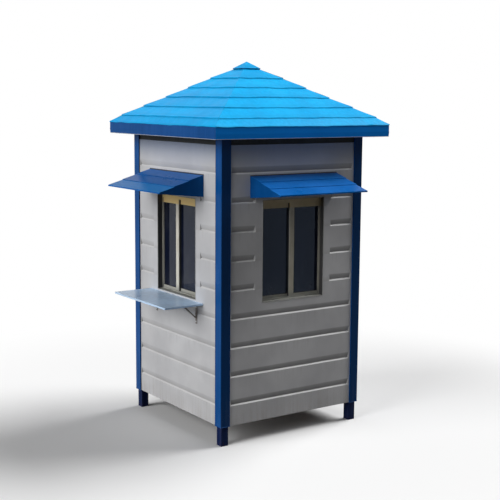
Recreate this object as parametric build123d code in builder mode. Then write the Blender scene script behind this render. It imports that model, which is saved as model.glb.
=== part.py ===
from build123d import *
import os
from math import cos, radians, sin

# Square security guard booth on four short feet, in millimetres.
# The origin is at ground level in the middle of the whole outline, and the service window faces -Y.

# Overall sizes
body_width = 1500.0
leg_height = 171.0
wall_height = 2441.0
fascia_height = 110.0
roof_height = 549.0
eave_overhang = 169.0

# Steel frame and floor
post_size = 70.0
post_gauge = 4.0
post_inset = 15.0
rail_setback = 3.0
floor_rail_height = 60.0
top_rail_height = 52.0
top_rail_recess = 5.0
joist_count = 3
joist_width = 40.0
joist_gauge = 3.0
joist_spacing = 420.0
deck_thickness = 18.0
ceiling_thickness = 12.0

# Corner covers
cover_width = 90.0
cover_gauge = 3.0
cover_stand = 8.0

# Wall cladding and its pressed grooves
cladding_depth = 14.0
groove_count = 9
bottom_board = 171.0
top_board = 182.0
groove_height = 60.0
groove_depth = 10.0
groove_ledge = 12.0
groove_floor = 3.0
groove_end_slope = 12.0
groove_end_gap = 12.0
flat_margin = 75.0

# Sliding windows
window_width = 656.0
window_height = 880.0
sill_height = 979.0
reveal_gauge = 4.0
reveal_depth = 46.0
frame_lip = 8.0
frame_jamb = 12.0
frame_head = 40.0
frame_foot = 14.0
sash_thickness = 16.0
sash_gap = 4.0
sash_overlap = 8.0
sash_stile = 13.0
sash_top_rail = 52.0
sash_bottom_rail = 30.0
meeting_stile = 48.0
front_meeting_offset = 70.0
side_meeting_offset = 22.0
glass_thickness = 5.0
glass_bite = 6.0
running_clearance = 0.3

# Back door, whose head is level with the windows
door_width = 740.0
door_frame_width = 30.0
door_frame_recess = 4.0
door_stop_width = 12.0
door_sill_height = 12.0
leaf_recess = 10.0
leaf_thickness = 40.0
leaf_clearance = 3.0
light_width = 340.0
light_height = 620.0
light_top_rail = 180.0
hinge_count = 3
hinge_radius = 7.0
hinge_length = 100.0
hinge_end_margin = 180.0
handle_height = 949.0
handle_edge = 60.0
handle_plate_width = 36.0
handle_plate_height = 190.0
handle_plate_gauge = 4.0
lever_radius = 8.0
lever_stand = 45.0
lever_length = 115.0

# Rain hoods over the windows
hood_side = 132.0
hood_reach = 430.0
hood_height = 185.0
hood_drop = 130.0
hood_gap = 25.0
hood_lip = 12.0
hood_gauge = 3.0
hood_flange = 30.0
hood_panel_count = 3
hood_panel_step = 5.0

# Shelf under the service window
shelf_side = 125.0
shelf_reach = 378.0
shelf_drop = 14.0
shelf_thickness = 16.0
shelf_gauge = 3.0
bracket_inset = 108.0
bracket_width = 24.0
bracket_gauge = 5.0
bracket_leg = 177.0
bracket_arm = 190.0
brace_drop = 128.0
brace_reach = 155.0

# Roof
fascia_gauge = 3.0
fascia_flange = 28.0
base_panel_thickness = 3.0
course_count = 5
course_lip = 11.0
first_course_run = 83.0
first_course_rise = 54.0
roof_gauge = 3.0
roof_hem = 18.0
cap_half = 90.0
cap_height = 72.0
cap_lap = 30.0

# Places that follow from the sizes above
cover_face = body_width / 2
wall_face = cover_face - cover_stand
panel_face = wall_face - cladding_depth
post_outer = cover_face - post_inset
post_inner = post_outer - post_size
post_pitch = post_outer + post_inner
rail_inner = post_inner + rail_setback
eave_half = cover_face + eave_overhang
floor_level = leg_height + floor_rail_height
eave_bottom = leg_height + wall_height
eave_top = eave_bottom + fascia_height
wall_top = eave_bottom - top_rail_height
frame_top = eave_bottom + fascia_gauge
window_sill = floor_level + sill_height
window_head = window_sill + window_height
door_height = window_head - floor_level
shelf_width = window_width + 2 * shelf_side
shelf_top = window_sill - shelf_drop
shelf_bottom = shelf_top - shelf_thickness

# Each side's turn about the vertical, counted from the front
side_turns = {"front": 0, "right": 90, "back": 180, "left": 270}

# 1 where the outer sash covers the left part of the window, seen from outside, and -1 for the right
outer_sash_hands = {"front": 1, "right": -1, "left": -1}

# How far the meeting stiles stand from the middle of the window, on the outer sash's side
meeting_offsets = {
    "front": front_meeting_offset,
    "right": side_meeting_offset,
    "left": side_meeting_offset,
}

# No hood hangs over the door, so the room stands this far behind the middle of the whole outline
front_reach = max(eave_half, wall_face + hood_reach, wall_face + shelf_reach)
room_shift = (front_reach - eave_half) / 2

os.makedirs("parts", exist_ok=True)


def keep(piece, node):
    placed = piece.part.moved(Location((0, room_shift, 0)))
    placed.label = node
    export_step(placed, f"parts/{node}.step")


# A plane seen from outside one side of the booth: x runs to the right, y is the height
# above ground, and the plane stands the given distance out from the middle.
def side_plane(side, distance):
    turn = radians(side_turns[side])
    outward = Vector(sin(turn), -cos(turn), 0)
    return Plane(origin=outward * distance, x_dir=(cos(turn), sin(turn), 0), z_dir=outward)


# A plane that cuts one side across: x runs outwards from the middle, y is the height.
def section_plane(side):
    turn = radians(side_turns[side])
    return Plane(origin=(0, 0, 0), x_dir=(sin(turn), -cos(turn), 0), z_dir=(-cos(turn), -sin(turn), 0))


# A rectangle in the open sketch, from its left and right sides and its two heights.
def rectangle_between(left, right, low, high, mode=Mode.ADD):
    with Locations(((left + right) / 2, (low + high) / 2)):
        Rectangle(right - left, high - low, mode=mode)


# Half width, bottom and top of the hole in one wall
def wall_opening(side):
    if side == "back":
        return door_width / 2, floor_level, window_head
    return window_width / 2, window_sill, window_head


# Four square tubes with closed feet, one at each corner
def make_corner_posts():
    with BuildPart() as corner_posts:
        with BuildSketch(Plane.XY):
            with GridLocations(post_pitch, post_pitch, 2, 2):
                Rectangle(post_size, post_size)
        extrude(amount=frame_top)
        with BuildSketch(Plane.XY.offset(post_gauge)):
            with GridLocations(post_pitch, post_pitch, 2, 2):
                Rectangle(post_size - 2 * post_gauge, post_size - 2 * post_gauge)
        extrude(amount=frame_top, mode=Mode.SUBTRACT)
    keep(corner_posts, "corner_posts")


# Four folded angles over the corners, whose turned-in edges seat on the cladding
def make_corner_covers():
    edge = cover_face - cover_width
    lip = edge + cover_gauge
    back = cover_face - cover_gauge
    outline = [
        (edge, cover_face),
        (cover_face, cover_face),
        (cover_face, edge),
        (wall_face, edge),
        (wall_face, lip),
        (back, lip),
        (back, back),
        (lip, back),
        (lip, wall_face),
        (edge, wall_face),
    ]
    with BuildPart() as corner_covers:
        with BuildSketch(Plane.XY.offset(leg_height)):
            with PolarLocations(0, len(side_turns)):
                Polygon(*outline, align=None)
        extrude(amount=frame_top - leg_height)
    keep(corner_covers, "corner_covers")


# One rail on each side, between two posts
def make_rails(node, outer_face, low, high):
    with BuildPart() as rails:
        for side in side_turns:
            with BuildSketch(side_plane(side, rail_inner)):
                rectangle_between(-post_inner, post_inner, low, high)
            extrude(amount=outer_face - rail_inner)
    keep(rails, node)


# Tubes across the floor, from the front rail to the back rail
def make_floor_joists():
    joist_height = floor_rail_height - deck_thickness
    bore_width = joist_width - 2 * joist_gauge
    bore_height = joist_height - 2 * joist_gauge
    with BuildPart() as floor_joists:
        with BuildSketch(side_plane("front", -rail_inner)):
            with Locations((0, leg_height + joist_height / 2)):
                with GridLocations(joist_spacing, 0, joist_count, 1):
                    Rectangle(joist_width, joist_height)
                    Rectangle(bore_width, bore_height, mode=Mode.SUBTRACT)
        extrude(amount=2 * rail_inner)
    keep(floor_joists, "floor_joists")


def make_floor_deck():
    with BuildPart() as floor_deck:
        with BuildSketch(Plane.XY.offset(floor_level)):
            Rectangle(2 * post_inner, 2 * post_inner)
        extrude(amount=-deck_thickness)
    keep(floor_deck, "floor_deck")


def make_ceiling_panel():
    with BuildPart() as ceiling_panel:
        with BuildSketch(Plane.XY.offset(frame_top)):
            Rectangle(2 * post_inner, 2 * post_inner)
        extrude(amount=-ceiling_thickness)
    keep(ceiling_panel, "ceiling_panel")


# An insulated wall panel between two posts, which stands on the floor rail
def make_wall(side):
    opening_half, opening_low, opening_high = wall_opening(side)
    with BuildPart() as wall:
        with BuildSketch(side_plane(side, rail_inner)):
            rectangle_between(-post_inner, post_inner, floor_level, wall_top)
            rectangle_between(-opening_half, opening_half, opening_low, opening_high, mode=Mode.SUBTRACT)
        extrude(amount=panel_face - rail_inner)
    keep(wall, f"{side}_wall")


# The stretches of each groove as left, right and bottom: a groove runs from corner cover to
# corner cover, or stops at the flat field beside the window or door.
def groove_stretches(side):
    opening_half, opening_low, opening_high = wall_opening(side)
    flat_half = opening_half + flat_margin
    reach = cover_face - cover_width - groove_end_gap
    lowest = leg_height + bottom_board
    pitch = (wall_top - top_board - groove_height - lowest) / (groove_count - 1)
    stretches = []
    for number in range(groove_count):
        low = lowest + number * pitch
        if low + groove_height < opening_low or low > opening_high:
            stretches.append((-reach, reach, low))
        else:
            stretches.append((-reach, -flat_half, low))
            stretches.append((flat_half, reach, low))
    return stretches


# The pressed outer sheet: each groove sinks slowly from above to a steep ledge at its foot
def make_cladding(side):
    opening_half, opening_low, opening_high = wall_opening(side)
    with BuildPart() as cladding:
        with BuildSketch(side_plane(side, panel_face)):
            rectangle_between(-post_inner, post_inner, leg_height, wall_top)
            rectangle_between(-opening_half, opening_half, opening_low, opening_high, mode=Mode.SUBTRACT)
        extrude(amount=cladding_depth)
        for left, right, low in groove_stretches(side):
            floor_low = low + groove_ledge
            with BuildSketch(side_plane(side, wall_face)):
                rectangle_between(left, right, low, low + groove_height)
            with BuildSketch(side_plane(side, wall_face - groove_depth)):
                rectangle_between(
                    left + groove_end_slope, right - groove_end_slope, floor_low, floor_low + groove_floor
                )
            loft(mode=Mode.SUBTRACT)
    keep(cladding, f"{side}_cladding")


# The part of the window that the frame's lips leave clear, widened by the given amount
def sketch_clear_window(grow, mode=Mode.ADD):
    rectangle_between(
        -window_width / 2 + frame_jamb - grow,
        window_width / 2 - frame_jamb + grow,
        window_sill + frame_foot - grow,
        window_head - frame_head + grow,
        mode=mode,
    )


# How far out from the middle the front face of each sash lies
def sash_fronts():
    outer_front = wall_face - reveal_depth - frame_lip
    return {"outer": outer_front, "inner": outer_front - sash_thickness - sash_gap}


# Aluminium window frame: a sleeve that lines the reveal, and behind it two tracks for the sashes
def make_window_frame(side):
    frame_front = wall_face - reveal_depth
    frame_depth = 2 * frame_lip + 2 * sash_thickness + sash_gap
    with BuildPart() as window_frame:
        with BuildSketch(side_plane(side, wall_face)):
            rectangle_between(-window_width / 2, window_width / 2, window_sill, window_head)
            rectangle_between(
                -window_width / 2 + reveal_gauge,
                window_width / 2 - reveal_gauge,
                window_sill + reveal_gauge,
                window_head - reveal_gauge,
                mode=Mode.SUBTRACT,
            )
        extrude(amount=-reveal_depth)
        with BuildSketch(side_plane(side, frame_front)):
            rectangle_between(-window_width / 2, window_width / 2, window_sill, window_head)
            sketch_clear_window(0, mode=Mode.SUBTRACT)
        extrude(amount=-frame_depth)
        for sash_front in sash_fronts().values():
            with BuildSketch(side_plane(side, sash_front + running_clearance)):
                sketch_clear_window(sash_overlap)
            extrude(amount=-sash_thickness - 2 * running_clearance, mode=Mode.SUBTRACT)
    keep(window_frame, f"{side}_window_frame")


# Left, right, bottom and top of one closed sash, and the same for the glass that it leaves clear
def sash_outline(side, track):
    hand = outer_sash_hands[side]
    reach = window_width / 2 - frame_jamb + sash_overlap - running_clearance
    meeting_half = meeting_stile / 2
    offset = meeting_offsets[side]
    low = window_sill + frame_foot - sash_overlap + running_clearance
    high = window_head - frame_head + sash_overlap - running_clearance
    if track == "outer":
        far, near = -reach, meeting_half - offset
        clear_far, clear_near = far + sash_stile, near - meeting_stile
    else:
        far, near = reach, -meeting_half - offset
        clear_far, clear_near = far - sash_stile, near + meeting_stile
    left, right = sorted([hand * far, hand * near])
    clear_left, clear_right = sorted([hand * clear_far, hand * clear_near])
    return (left, right, low, high), (clear_left, clear_right, low + sash_bottom_rail, high - sash_top_rail)


# A pane in the open sketch, which fills its slot up to the given gap round the edge
def sketch_pane(clear, edge_gap):
    left, right, low, high = clear
    grow = glass_bite - edge_gap
    rectangle_between(left - grow, right + grow, low - grow, high + grow)


# A sliding sash with a slot for its pane
def make_window_sash(side, track):
    outline, clear = sash_outline(side, track)
    sash_front = sash_fronts()[track]
    with BuildPart() as sash:
        with BuildSketch(side_plane(side, sash_front)):
            rectangle_between(*outline)
            rectangle_between(*clear, mode=Mode.SUBTRACT)
        extrude(amount=-sash_thickness)
        with BuildSketch(side_plane(side, sash_front - (sash_thickness - glass_thickness) / 2)):
            sketch_pane(clear, 0)
        extrude(amount=-glass_thickness, mode=Mode.SUBTRACT)
    keep(sash, f"{side}_{track}_sash")


# The two panes of one window
def make_window_glass(side):
    with BuildPart() as window_glass:
        for track, sash_front in sash_fronts().items():
            outline, clear = sash_outline(side, track)
            with BuildSketch(side_plane(side, sash_front - (sash_thickness - glass_thickness) / 2)):
                sketch_pane(clear, running_clearance)
            extrude(amount=-glass_thickness)
    keep(window_glass, f"{side}_window_glass")


# The clear doorway inside the frame, narrowed by the given amount on both sides and above
def sketch_doorway(narrow, mode=Mode.ADD):
    half = door_width / 2 - door_frame_width - narrow
    low = floor_level + door_sill_height
    rectangle_between(-half, half, low, window_head - door_frame_width - narrow, mode=mode)


# Door frame with a stop, which the closed leaf lies against
def make_door_frame():
    frame_front = wall_face - door_frame_recess
    stop_front = wall_face - leaf_recess - leaf_thickness
    with BuildPart() as door_frame:
        with BuildSketch(side_plane("back", frame_front)):
            rectangle_between(-door_width / 2, door_width / 2, floor_level, window_head)
            sketch_doorway(0, mode=Mode.SUBTRACT)
        extrude(amount=rail_inner - frame_front)
        with BuildSketch(side_plane("back", stop_front)):
            sketch_doorway(0)
            sketch_doorway(door_stop_width, mode=Mode.SUBTRACT)
        extrude(amount=rail_inner - stop_front)
    keep(door_frame, "door_frame")


# Left, right, bottom and top of the door leaf, and the same for its upper light
def leaf_outline():
    half = door_width / 2 - door_frame_width - leaf_clearance
    low = floor_level + door_sill_height + leaf_clearance
    high = window_head - door_frame_width - leaf_clearance
    light_half = light_width / 2
    light_high = high - light_top_rail
    return (-half, half, low, high), (-light_half, light_half, light_high - light_height, light_high)


# Steel door leaf with a slot for the pane of its upper light
def make_door_leaf():
    outline, light = leaf_outline()
    leaf_face = wall_face - leaf_recess
    with BuildPart() as door_leaf:
        with BuildSketch(side_plane("back", leaf_face)):
            rectangle_between(*outline)
            rectangle_between(*light, mode=Mode.SUBTRACT)
        extrude(amount=-leaf_thickness)
        with BuildSketch(side_plane("back", leaf_face - (leaf_thickness - glass_thickness) / 2)):
            sketch_pane(light, 0)
        extrude(amount=-glass_thickness, mode=Mode.SUBTRACT)
    keep(door_leaf, "door_leaf")


def make_door_glass():
    outline, light = leaf_outline()
    leaf_face = wall_face - leaf_recess
    with BuildPart() as door_glass:
        with BuildSketch(side_plane("back", leaf_face - (leaf_thickness - glass_thickness) / 2)):
            sketch_pane(light, running_clearance)
        extrude(amount=-glass_thickness)
    keep(door_glass, "door_glass")


# Hinge barrels beside the right edge of the door, each against the face of its frame
def make_door_hinges():
    low = floor_level + hinge_end_margin
    spacing = (door_height - 2 * hinge_end_margin) / (hinge_count - 1)
    barrel_out = wall_face - door_frame_recess + hinge_radius
    with BuildPart() as door_hinges:
        for number in range(hinge_count):
            foot = side_plane("back", barrel_out).from_local_coords(
                Vector(door_width / 2 - door_frame_width, low + number * spacing - hinge_length / 2, 0)
            )
            with BuildSketch(Plane(origin=foot, x_dir=(1, 0, 0), z_dir=(0, 0, 1))):
                Circle(hinge_radius)
            extrude(amount=hinge_length)
    keep(door_hinges, "door_hinges")


# Rounded plate and lever beside the left edge of the door
def make_door_handle():
    outline, light = leaf_outline()
    leaf_face = wall_face - leaf_recess
    centre = (outline[0] + handle_edge, floor_level + handle_height)
    with BuildPart() as door_handle:
        with BuildSketch(side_plane("back", leaf_face)):
            with Locations(centre):
                RectangleRounded(handle_plate_width, handle_plate_height, handle_plate_width / 4)
        extrude(amount=handle_plate_gauge)
        with BuildSketch(side_plane("back", leaf_face)):
            with Locations(centre):
                Circle(lever_radius)
        extrude(amount=lever_stand)
        with BuildSketch(side_plane("back", leaf_face + lever_stand - lever_radius)):
            with Locations(centre):
                SlotCenterPoint((lever_length / 2, 0), (lever_length, 0), 2 * lever_radius)
        extrude(amount=lever_radius)
    keep(door_handle, "door_handle")


# Rain hood over a window, folded from one sheet: a top in lapped panels that falls
# outwards, a lip along its edge, a flange against the wall and a cheek at each end
def make_hood(side):
    opening_half, opening_low, opening_high = wall_opening(side)
    hood_half = opening_half + hood_side
    cheek_foot = opening_high + hood_gap
    run = hood_reach / hood_panel_count
    fall = (hood_drop - (hood_panel_count - 1) * hood_panel_step) / hood_panel_count
    out, height = wall_face, cheek_foot + hood_height
    top_line = [(out, height)]
    for number in range(hood_panel_count):
        out += run
        height -= fall
        top_line.append((out, height))
        height -= hood_panel_step
        top_line.append((out, height))
    lip_end = (out, top_line[-2][1] - hood_lip)
    under_line = [(out - hood_gauge, height - hood_gauge) for out, height in top_line[1:-1]]
    top_line[-1] = lip_end
    under_line.append((lip_end[0] - hood_gauge, lip_end[1]))
    flange_high = top_line[0][1]
    flange_line = [
        (wall_face + hood_gauge, flange_high - hood_gauge),
        (wall_face + hood_gauge, flange_high - hood_flange),
        (wall_face, flange_high - hood_flange),
    ]
    with BuildPart() as hood:
        with BuildSketch(section_plane(side)):
            Polygon(*top_line, *reversed(under_line), *flange_line, align=None)
        extrude(amount=hood_half, both=True)
        for cheek_start in (-hood_half, hood_half - hood_gauge):
            with BuildSketch(section_plane(side).offset(cheek_start)):
                Polygon(*top_line, (wall_face, cheek_foot), align=None)
            extrude(amount=hood_gauge)
    keep(hood, f"{side}_hood")


# Shelf folded as a shallow tray, open underneath
def make_shelf_board():
    centre = (0, -wall_face - shelf_reach / 2)
    with BuildPart() as shelf_board:
        with BuildSketch(Plane.XY.offset(shelf_top)):
            with Locations(centre):
                Rectangle(shelf_width, shelf_reach)
        extrude(amount=-shelf_thickness)
        with BuildSketch(Plane.XY.offset(shelf_top - shelf_gauge)):
            with Locations(centre):
                Rectangle(shelf_width - 2 * shelf_gauge, shelf_reach - 2 * shelf_gauge)
        extrude(amount=-shelf_thickness, mode=Mode.SUBTRACT)
    keep(shelf_board, "shelf_board")


# Two brackets of flat bar: a leg on the wall, an arm under the shelf's sheet, and a brace
def make_shelf_brackets():
    leg_front = wall_face + bracket_gauge
    arm_start = wall_face + shelf_gauge + running_clearance
    arm_top = shelf_top - shelf_gauge
    brace_foot = shelf_bottom - brace_drop
    brace_head = wall_face + brace_reach
    arm_foot = shelf_bottom - bracket_gauge
    first_bracket = bracket_inset - shelf_width / 2
    with BuildPart() as shelf_brackets:
        for centre in (first_bracket, -first_bracket):
            with BuildSketch(section_plane("front").offset(centre - bracket_width / 2)):
                rectangle_between(wall_face, leg_front, shelf_bottom - bracket_leg, shelf_bottom)
                rectangle_between(arm_start, leg_front + bracket_gauge, arm_foot, arm_top)
                rectangle_between(arm_start, arm_start + bracket_arm, arm_top - bracket_gauge, arm_top)
                Polygon(
                    (wall_face, brace_foot),
                    (leg_front, brace_foot - bracket_gauge),
                    (brace_head + bracket_gauge, arm_top - bracket_gauge),
                    (brace_head - bracket_gauge, arm_top),
                    align=None,
                )
            extrude(amount=bracket_width)
    keep(shelf_brackets, "shelf_brackets")


# Folded fascia all round the eaves, with flanges that carry the roof and the base panel
def make_eave_fascia():
    inside = 2 * (eave_half - fascia_gauge)
    between_flanges = 2 * (eave_half - fascia_flange)
    with BuildPart() as eave_fascia:
        with BuildSketch(Plane.XY.offset(eave_bottom)):
            Rectangle(2 * eave_half, 2 * eave_half)
            Rectangle(between_flanges, between_flanges, mode=Mode.SUBTRACT)
        extrude(amount=fascia_height)
        with BuildSketch(Plane.XY.offset(frame_top)):
            Rectangle(inside, inside)
        extrude(amount=fascia_height - 2 * fascia_gauge, mode=Mode.SUBTRACT)
    keep(eave_fascia, "eave_fascia")


# Flat panel under the whole roof: its rim is the soffit of the eaves
def make_roof_base_panel():
    side_length = 2 * (eave_half - fascia_gauge - running_clearance)
    with BuildPart() as roof_base_panel:
        with BuildSketch(Plane.XY.offset(frame_top)):
            Rectangle(side_length, side_length)
        extrude(amount=base_panel_thickness)
    keep(roof_base_panel, "roof_base_panel")


# Corners of the stepped roof from the eave inwards, as distance out and height: the courses
# between the first one and the cap are alike
def roof_line():
    run = (eave_half - first_course_run - cap_half) / course_count
    rise = (roof_height - first_course_rise - cap_height) / course_count
    out = eave_half - first_course_run
    height = eave_top + first_course_rise
    line = [(eave_half, eave_top + roof_gauge), (out, height)]
    for number in range(course_count):
        line.append((out, height + course_lip))
        out -= run
        height += rise
        line.append((out, height))
    return line


# Rise over run between two neighbouring corners of the roof line
def slope_between(lower, upper):
    return (upper[1] - lower[1]) / (lower[0] - upper[0])


# One slope of the roof: a sheet pressed into stepped courses, mitred at both hips, whose hem
# rests on the fascia and whose top edge runs in under the cap
def make_roof_slope(side):
    top_line = roof_line()
    last_slope = slope_between(top_line[-2], top_line[-1])
    out, height = top_line[-1]
    top_line[-1] = (out - cap_lap, height + cap_lap * last_slope)
    under_line = [(out - roof_gauge, height - roof_gauge) for out, height in top_line[1:]]
    hem_inner = eave_half - roof_hem
    first_slope = slope_between(top_line[0], top_line[1])
    hem_line = [
        (hem_inner, eave_top + (roof_hem - roof_gauge) * first_slope),
        (hem_inner, eave_top),
        (eave_half, eave_top),
    ]
    with BuildPart() as roof_slope:
        with BuildSketch(section_plane(side)):
            Polygon(*top_line, *reversed(under_line), *hem_line, align=None)
        extrude(amount=eave_half, both=True)
        with BuildSketch(Plane.XY.offset(eave_bottom)):
            with Locations(Location((0, 0, 0), (0, 0, side_turns[side]))):
                Polygon((0, 0), (-body_width, -body_width), (body_width, -body_width), align=None)
        extrude(amount=fascia_height + roof_height, mode=Mode.INTERSECT)
    keep(roof_slope, f"{side}_roof_slope")


# A square pyramid in the open part
def add_pyramid(half, base, apex, mode):
    with BuildSketch(Plane.XY.offset(base)) as base_square:
        Rectangle(2 * half, 2 * half)
    loft(sections=[base_square.sketch.faces()[0], Vertex(0, 0, apex)], mode=mode)


# Small hollow pyramid that closes the top, with a lip like those of the courses
def make_roof_cap():
    line = roof_line()
    out, height = line[-1]
    rim = height + roof_gauge * slope_between(line[-2], line[-1]) + running_clearance
    shoulder = height + course_lip
    inner_half = out - roof_gauge
    apex = eave_top + roof_height
    with BuildPart() as roof_cap:
        with BuildSketch(Plane.XY.offset(rim)):
            Rectangle(2 * out, 2 * out)
        extrude(amount=shoulder - rim)
        add_pyramid(out, shoulder, apex, Mode.ADD)
        with BuildSketch(Plane.XY.offset(rim)):
            Rectangle(2 * inner_half, 2 * inner_half)
        extrude(amount=shoulder - roof_gauge - rim, mode=Mode.SUBTRACT)
        add_pyramid(inner_half, shoulder - roof_gauge, apex - 2 * roof_gauge, Mode.SUBTRACT)
    keep(roof_cap, "roof_cap")


make_corner_posts()
make_corner_covers()
make_rails("floor_frame", panel_face, leg_height, floor_level)
make_rails("top_frame", wall_face - top_rail_recess, wall_top, frame_top)
make_floor_joists()
make_floor_deck()
make_ceiling_panel()
for side in side_turns:
    make_wall(side)
    make_cladding(side)
    make_roof_slope(side)
for side in outer_sash_hands:
    make_hood(side)
    make_window_frame(side)
    make_window_sash(side, "outer")
    make_window_sash(side, "inner")
    make_window_glass(side)
make_door_frame()
make_door_leaf()
make_door_glass()
make_door_hinges()
make_door_handle()
make_shelf_board()
make_shelf_brackets()
make_eave_fascia()
make_roof_base_panel()
make_roof_cap()
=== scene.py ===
import math

import bpy
from mathutils import Matrix, Vector


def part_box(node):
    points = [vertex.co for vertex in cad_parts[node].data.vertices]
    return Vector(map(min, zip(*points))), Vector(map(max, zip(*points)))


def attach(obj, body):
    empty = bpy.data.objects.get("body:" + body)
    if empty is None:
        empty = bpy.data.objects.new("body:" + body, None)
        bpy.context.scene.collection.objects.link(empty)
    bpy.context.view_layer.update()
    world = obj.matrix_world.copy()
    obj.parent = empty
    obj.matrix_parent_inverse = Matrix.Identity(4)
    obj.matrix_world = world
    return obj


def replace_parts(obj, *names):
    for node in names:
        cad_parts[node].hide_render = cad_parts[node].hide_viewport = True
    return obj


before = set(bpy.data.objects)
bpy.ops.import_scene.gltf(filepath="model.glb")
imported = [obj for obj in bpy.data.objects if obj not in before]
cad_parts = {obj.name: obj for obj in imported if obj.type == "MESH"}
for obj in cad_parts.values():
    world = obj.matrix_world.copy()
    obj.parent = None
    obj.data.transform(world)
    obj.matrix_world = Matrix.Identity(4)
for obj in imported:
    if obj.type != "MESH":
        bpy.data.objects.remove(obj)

for leftover in ("Cube", "Light", "Camera"):
    if leftover in bpy.data.objects:
        bpy.data.objects.remove(bpy.data.objects[leftover])
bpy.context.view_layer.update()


# Corner posts, rails and joists: a frame welded from square steel tube. The posts, which run down past
# the walls as four short feet, the floor rails and the joists are dark blue. The top rails are dark grey,
# a painted shade for the shadowed gap under the eaves.

# The middle of the room. Places on the walls are given for the front side and counted from here.
deck_low, deck_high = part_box("floor_deck")
middle = Vector(((deck_low.x + deck_high.x) / 2, (deck_low.y + deck_high.y) / 2, 0))


class Amount:
    """A number that changes over a surface. Arithmetic with it adds Math nodes to its finish."""

    def __init__(self, finish, socket):
        self.finish = finish
        self.socket = socket

    def work_out(self, operation, first, second):
        return self.finish.add("ShaderNodeMath", {"operation": operation}, {0: first, 1: second})

    def __add__(self, other):
        return self.work_out("ADD", self, other)

    __radd__ = __add__

    def __sub__(self, other):
        return self.work_out("SUBTRACT", self, other)

    def __rsub__(self, other):
        return self.work_out("SUBTRACT", other, self)

    def __mul__(self, other):
        return self.work_out("MULTIPLY", self, other)

    __rmul__ = __mul__

    def __truediv__(self, other):
        return self.work_out("DIVIDE", self, other)

    def __mod__(self, other):
        return self.work_out("FLOORED_MODULO", self, other)

    def or_more(self, other):
        return self.work_out("MAXIMUM", self, other)

    def or_less(self, other):
        return self.work_out("MINIMUM", self, other)


class Finish:
    """One paint, metal or board. add() puts in a node, and coat() feeds the shader."""

    def __init__(self, name, **fixed):
        self.material = bpy.data.materials.new(name)
        self.material.use_nodes = True
        self.tree = self.material.node_tree
        self.shader = self.tree.nodes["Principled BSDF"]
        for socket, value in fixed.items():
            self.shader.inputs[socket.replace("_", " ")].default_value = value
        self.spot = self.add("ShaderNodeTexCoord", give="Object")

    def add(self, kind, settings=None, sockets=None, give=0):
        """Puts in one node: first its settings, then the values or links of its sockets. Gives back
        one of its outputs, or all of them."""
        node = self.tree.nodes.new(kind)
        for setting, value in (settings or {}).items():
            setattr(node, setting, value)
        for place, value in (sockets or {}).items():
            self.join(value, node.inputs[place])
        if give == "all":
            return [self.as_amount(output) for output in node.outputs]
        return self.as_amount(node.outputs[give])

    def as_amount(self, output):
        """An output, made ready for arithmetic if it is a number."""
        return Amount(self, output) if output.type == "VALUE" else output

    def join(self, value, socket):
        value = value.socket if isinstance(value, Amount) else value
        if isinstance(value, bpy.types.NodeSocket):
            self.tree.links.new(value, socket)
        elif socket.type == "RGBA" and len(value) == 3:
            socket.default_value = (*value, 1.0)
        else:
            socket.default_value = value

    def split(self, vector):
        return self.add("ShaderNodeSeparateXYZ", None, {0: vector}, give="all")

    def blotches(self, size, detail=2.0, shift=0.0):
        """Cloudy variation about 0.5, with blotches of the given size in metres along each axis."""
        places = {"Vector": self.spot, "Scale": [1.0 / s for s in size], "Location": [shift] * 3}
        spot = self.add("ShaderNodeMapping", None, places)
        return self.add("ShaderNodeTexNoise", None, {"Vector": spot, "Scale": 1.0, "Detail": detail})

    def rise(self, value, low, high):
        """0 below low and 1 above high, eased between them."""
        ends = {"Value": value, "From Min": low, "From Max": high}
        return self.add("ShaderNodeMapRange", {"interpolation_type": "SMOOTHSTEP"}, ends)

    def lie(self, normal="Normal"):
        """How far the surface faces to the right, to the back and up, each from -1 to 1."""
        return self.split(self.add("ShaderNodeNewGeometry", give=normal))

    def way_out(self):
        """How far a point lies out from the middle of the room towards its side, and how far aside."""
        across, along, up = self.split(self.spot)
        along = along - middle.y
        across, along = across.or_more(across * -1.0), along.or_more(along * -1.0)
        return across.or_more(along), across.or_less(along)

    def tint(self, amount, under, over):
        """The colour under, covered by the colour over as far as the amount says."""
        return self.add("ShaderNodeMix", {"data_type": "RGBA"}, {0: amount, 6: under, 7: over}, give=2)

    def coat(self, colour=None, roughness=None, height=None):
        """Feeds the shader. The height is in metres and becomes a bump."""
        for name, value in (("Base Color", colour), ("Roughness", roughness)):
            if value is not None:
                self.join(value, self.shader.inputs[name])
        if height is not None:
            bump = self.add("ShaderNodeBump", None, {"Height": height, "Strength": 1.0, "Distance": 1.0})
            self.join(bump, self.shader.inputs["Normal"])


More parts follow.
